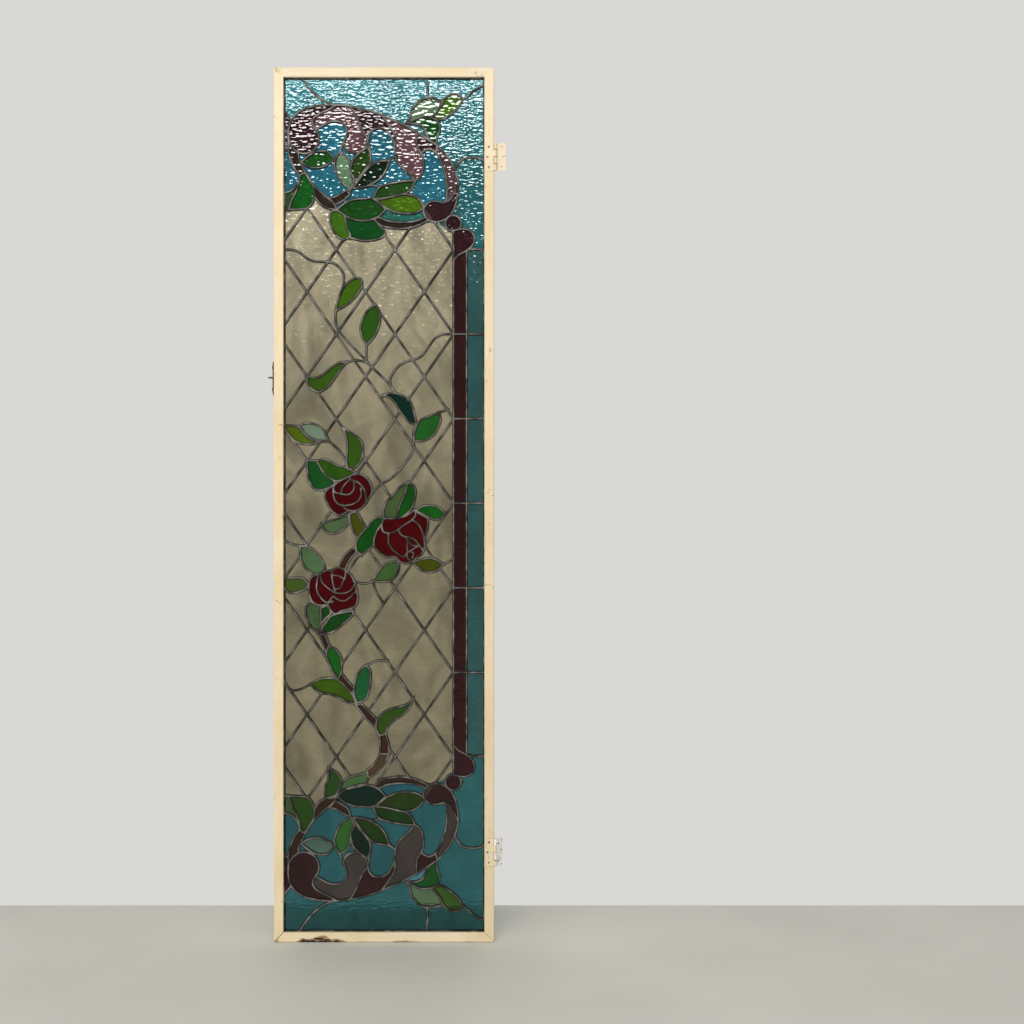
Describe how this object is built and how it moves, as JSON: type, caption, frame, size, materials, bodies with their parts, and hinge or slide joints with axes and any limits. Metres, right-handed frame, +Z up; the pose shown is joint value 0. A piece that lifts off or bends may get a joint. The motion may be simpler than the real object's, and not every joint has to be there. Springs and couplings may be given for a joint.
{
  "type": "leaded glass window leaf",
  "caption": "Tall narrow hinged window leaf: cream painted wooden frame on two butt hinges, glazed with coloured leaded glass, red roses and green leaves on a pale diamond trellis between two scrolls",
  "frame": {"origin": "on the back face of the upper hinge's free leaf, halfway up it, where that leaf rests on whatever carries the window", "axes": "+X to the hinge side, +Y to the back, +Z up"},
  "size_m": [0.4915, 0.0339, 1.8],
  "materials": {
    "cream_paint": "old cream gloss paint, worn, rotten at the foot",
    "hinge_paint": "painted over with the frame",
    "hinge_primer": "chipped white primer",
    "steel": "dull",
    "keep_brass": "browned",
    "lead": "dull grey-brown lead with solder at the joints",
    "teal_glass": "wavy cathedral glass",
    "blue_glass": "wavy cathedral glass",
    "plum_glass": "dark wavy glass",
    "green_glass": "wavy glass in several greens",
    "rose_glass": "deep red glass",
    "quarry_glass": "nearly clear rippled glass"
  },
  "bodies": {
    "hinge_plate": {"upper_hinge_free_leaf": "hinge_paint", "upper_hinge_pin": "steel"},
    "sash": {"bead_bottom_rail": "cream_paint", "bead_catch_stile": "cream_paint", "bead_hinge_stile": "cream_paint", "bead_top_rail": "cream_paint", "border_glass": "teal_glass", "bud_leaf_glass": "green_glass", "catch_keep": "keep_brass", "catch_pin": "steel", "catch_screw_1": "keep_brass", "catch_screw_2": "keep_brass", "column_glass": "plum_glass", "crest_leaf_glass": "green_glass", "drop_leaf_glass": "green_glass", "frame_bottom_rail": "cream_paint", "frame_catch_stile": "cream_paint", "frame_hinge_stile": "cream_paint", "frame_top_rail": "cream_paint", "fresh_leaf_glass": "green_glass", "jade_leaf_glass": "green_glass", "lance_leaf_glass": "green_glass", "lead_cames": "lead", "lower_finial_glass": "plum_glass", "lower_garden_glass": "blue_glass", "lower_hinge_fixed_leaf": "hinge_paint", "lower_hinge_pin": "steel", "lower_hinge_screw_1": "hinge_paint", "lower_hinge_screw_2": "hinge_paint", "lower_hinge_screw_3": "hinge_paint", "lower_rose_glass": "rose_glass", "lower_scroll_glass": "plum_glass", "lower_sky_glass": "teal_glass", "lower_sprig_glass": "green_glass", "middle_branch_glass": "green_glass", "middle_leaf_glass": "green_glass", "reed_leaf_glass": "green_glass", "right_rose_fern_leaf_glass": "green_glass", "right_rose_foot_leaf_glass": "green_glass", "right_rose_glass": "rose_glass", "right_rose_top_leaves_glass": "green_glass", "root_branch_glass": "green_glass", "shoulder_leaf_glass": "green_glass", "spruce_leaf_glass": "green_glass", "trellis_glass": "quarry_glass", "upper_finial_glass": "plum_glass", "upper_garden_glass": "blue_glass", "upper_hinge_fixed_leaf": "hinge_paint", "upper_hinge_screw_1": "hinge_paint", "upper_hinge_screw_2": "hinge_paint", "upper_hinge_screw_3": "hinge_paint", "upper_rose_glass": "rose_glass", "upper_rose_leaves_glass": "green_glass", "upper_scroll_glass": "plum_glass", "upper_sky_glass": "teal_glass", "upper_sprig_glass": "green_glass", "verge_leaf_glass": "green_glass", "wave_leaf_glass": "green_glass", "willow_leaf_glass": "green_glass"},
    "lower_hinge_plate": {"lower_hinge_free_leaf": "hinge_primer"}
  },
  "joints": [
    {"name": "sash_swing", "type": "hinge", "parent": "hinge_plate", "child": "sash", "pos_m": [-0.011, -0.0028, 0], "axis": [0, 0, 1], "range_deg": [0, 178]},
    {"name": "lower_leaf_fold", "type": "hinge", "parent": "sash", "child": "lower_hinge_plate", "pos_m": [-0.011, -0.0028, -1.43], "axis": [0, 0, 1], "range_deg": [-220, 40]}
  ]
}
